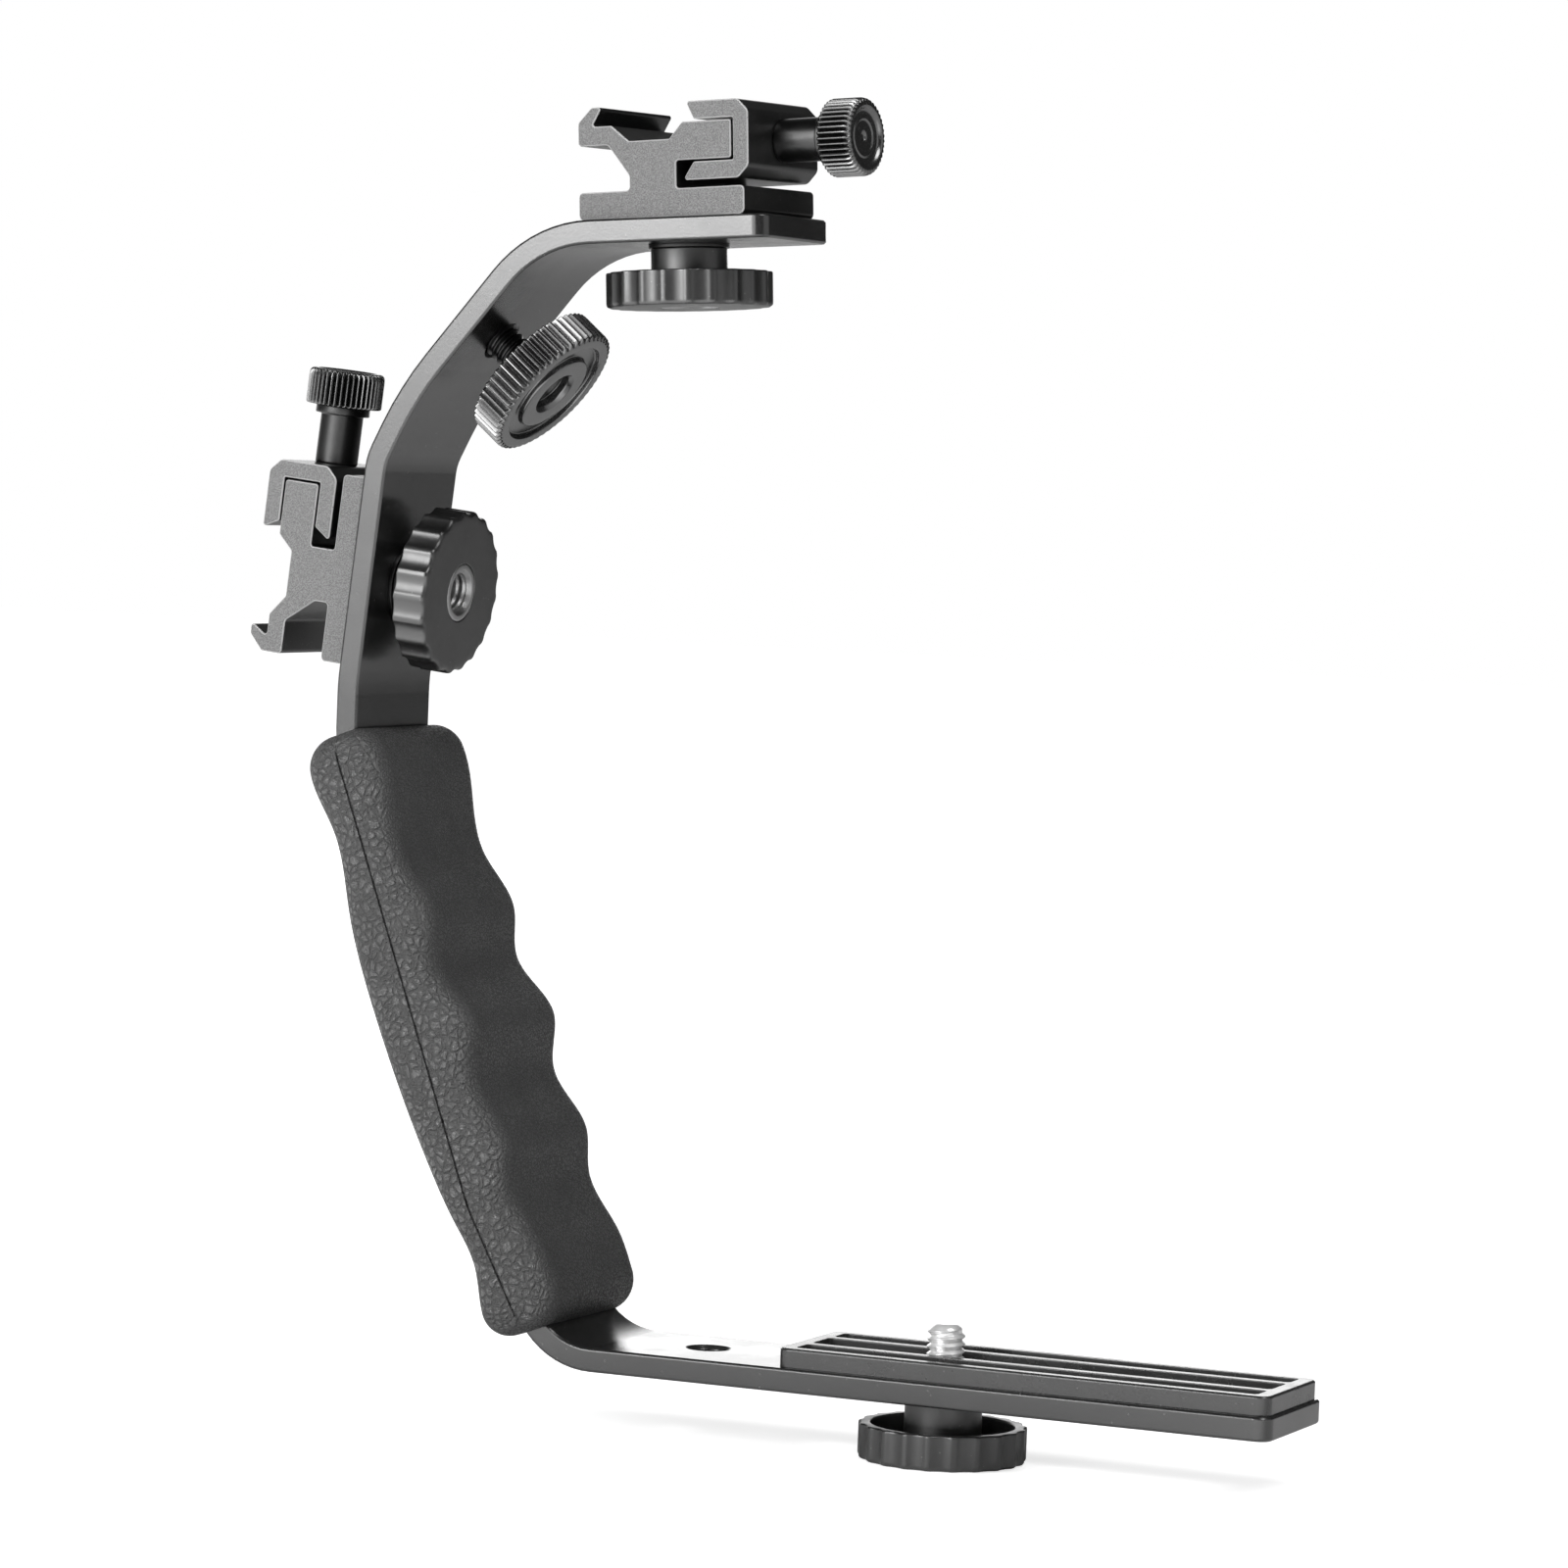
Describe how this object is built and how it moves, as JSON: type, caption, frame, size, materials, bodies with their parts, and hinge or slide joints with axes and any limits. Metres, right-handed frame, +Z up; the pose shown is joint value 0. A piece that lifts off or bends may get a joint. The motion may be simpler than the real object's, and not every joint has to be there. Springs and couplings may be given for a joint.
{
  "type": "camera flash bracket",
  "caption": "C-shaped camera flash bracket: bent flat bar, moulded hand grip, slotted camera platform with captive screw, and swivelling accessory shoes on clamping wheels.",
  "frame": {"origin": "centre of the tripod thread on the underside of the foot", "axes": "+X along the foot to its free end, +Y across the bar, +Z up; the tripod screw leaves along -Z"},
  "size_m": [0.1902, 0.036, 0.224],
  "materials": {
    "painted_bar": "semi-gloss black paint",
    "grip_leather": "moulded leather grain",
    "platform_black": "satin black",
    "shoe_black": "black anodised",
    "knob_black": "glossy black",
    "bright_steel": "bright nickel",
    "black_steel": "black oxide"
  },
  "bodies": {
    "bracket": {"bar": "painted_bar", "grip_palm_shell": "grip_leather", "grip_finger_shell": "grip_leather", "grip_screws": "black_steel", "camera_plate": "platform_black"},
    "top_shoe": {"top_shoe_body": "shoe_black"},
    "top_jaw": {"top_shoe_jaw": "shoe_black"},
    "top_thumbscrew": {"top_thumbscrew_head": "knob_black", "top_thumbscrew_shaft": "black_steel"},
    "top_washer": {"top_knob_washer": "black_steel"},
    "top_knob": {"top_knob_wheel": "knob_black", "top_knob_stud": "bright_steel"},
    "side_shoe": {"side_shoe_body": "shoe_black"},
    "side_jaw": {"side_shoe_jaw": "shoe_black"},
    "side_thumbscrew": {"side_thumbscrew_head": "knob_black", "side_thumbscrew_shaft": "black_steel"},
    "side_washer": {"side_knob_washer": "black_steel"},
    "side_knob": {"side_knob_wheel": "knob_black", "side_knob_stud": "bright_steel"},
    "camera_slider": {"camera_knob_washer": "black_steel", "camera_snap_ring": "bright_steel"},
    "camera_knob": {"camera_knob_wheel": "knob_black", "camera_screw": "bright_steel"},
    "accessory_screw": {"accessory_knob_screw": "black_steel"},
    "accessory_knob": {"accessory_knob_head": "knob_black"}
  },
  "joints": [
    {"name": "top_shoe_swivel", "type": "hinge", "parent": "bracket", "child": "top_shoe", "pos_m": [-0.01149, 0, 0.19271], "axis": [-0.0558, 0, 0.9984], "continuous": true},
    {"name": "top_jaw_slide", "type": "slide", "parent": "top_shoe", "child": "top_jaw", "axis": [-0.992, 0.1132, -0.0555], "range_m": [-0.0022, 0.0003]},
    {"name": "top_thumbscrew_turn", "type": "hinge", "parent": "top_jaw", "child": "top_thumbscrew", "pos_m": [0.00612, -0.00209, 0.20617], "axis": [-0.992, 0.1132, -0.0555], "range_deg": [-1131, 154]},
    {"name": "top_knob_slide", "type": "slide", "parent": "bracket", "child": "top_washer", "axis": [-0.0558, 0, 0.9984], "range_m": [-0.00191, 0]},
    {"name": "top_knob_turn", "type": "hinge", "parent": "top_washer", "child": "top_knob", "pos_m": [-0.01149, 0, 0.19271], "axis": [-0.0558, 0, 0.9984], "range_deg": [-540, 0]},
    {"name": "side_shoe_swivel", "type": "hinge", "parent": "bracket", "child": "side_shoe", "pos_m": [-0.06596, 0, 0.13023], "axis": [-0.9947, 0, 0.1028], "continuous": true},
    {"name": "side_jaw_slide", "type": "slide", "parent": "side_shoe", "child": "side_jaw", "axis": [-0.1028, 0, -0.9947], "range_m": [-0.0022, 0.0003]},
    {"name": "side_thumbscrew_turn", "type": "hinge", "parent": "side_jaw", "child": "side_thumbscrew", "pos_m": [-0.07645, 0, 0.14986], "axis": [-0.1028, 0, -0.9947], "range_deg": [-1131, 154]},
    {"name": "side_knob_slide", "type": "slide", "parent": "bracket", "child": "side_washer", "axis": [-0.9947, 0, 0.1028], "range_m": [-0.00191, 0]},
    {"name": "side_knob_turn", "type": "hinge", "parent": "side_washer", "child": "side_knob", "pos_m": [-0.06596, 0, 0.13023], "axis": [-0.9947, 0, 0.1028], "range_deg": [-540, 0]},
    {"name": "camera_screw_slide", "type": "slide", "parent": "bracket", "child": "camera_slider", "axis": [1, 0, 0], "range_m": [-0.0157, 0.0515]},
    {"name": "camera_knob_turn", "type": "hinge", "parent": "camera_slider", "child": "camera_knob", "pos_m": [0.043, 0, 0], "axis": [0, 0, 1], "continuous": true},
    {"name": "accessory_screw_travel", "type": "slide", "parent": "bracket", "child": "accessory_screw", "axis": [-0.766, 0, 0.6428], "range_m": [-0.0045, 0.0062]},
    {"name": "accessory_knob_turn", "type": "hinge", "parent": "accessory_screw", "child": "accessory_knob", "pos_m": [-0.04557, 0, 0.17181], "axis": [-0.766, 0, 0.6428], "range_deg": [-1275, 1757]}
  ],
  "couplings": [
    {"joint": "top_jaw_slide", "follows": "top_thumbscrew_turn", "m_per_rad": 0.00011141},
    {"joint": "top_knob_slide", "follows": "top_knob_turn", "m_per_rad": 0.00020213},
    {"joint": "side_jaw_slide", "follows": "side_thumbscrew_turn", "m_per_rad": 0.00011141},
    {"joint": "side_knob_slide", "follows": "side_knob_turn", "m_per_rad": 0.00020213},
    {"joint": "accessory_screw_travel", "follows": "accessory_knob_turn", "m_per_rad": 0.00020213}
  ]
}
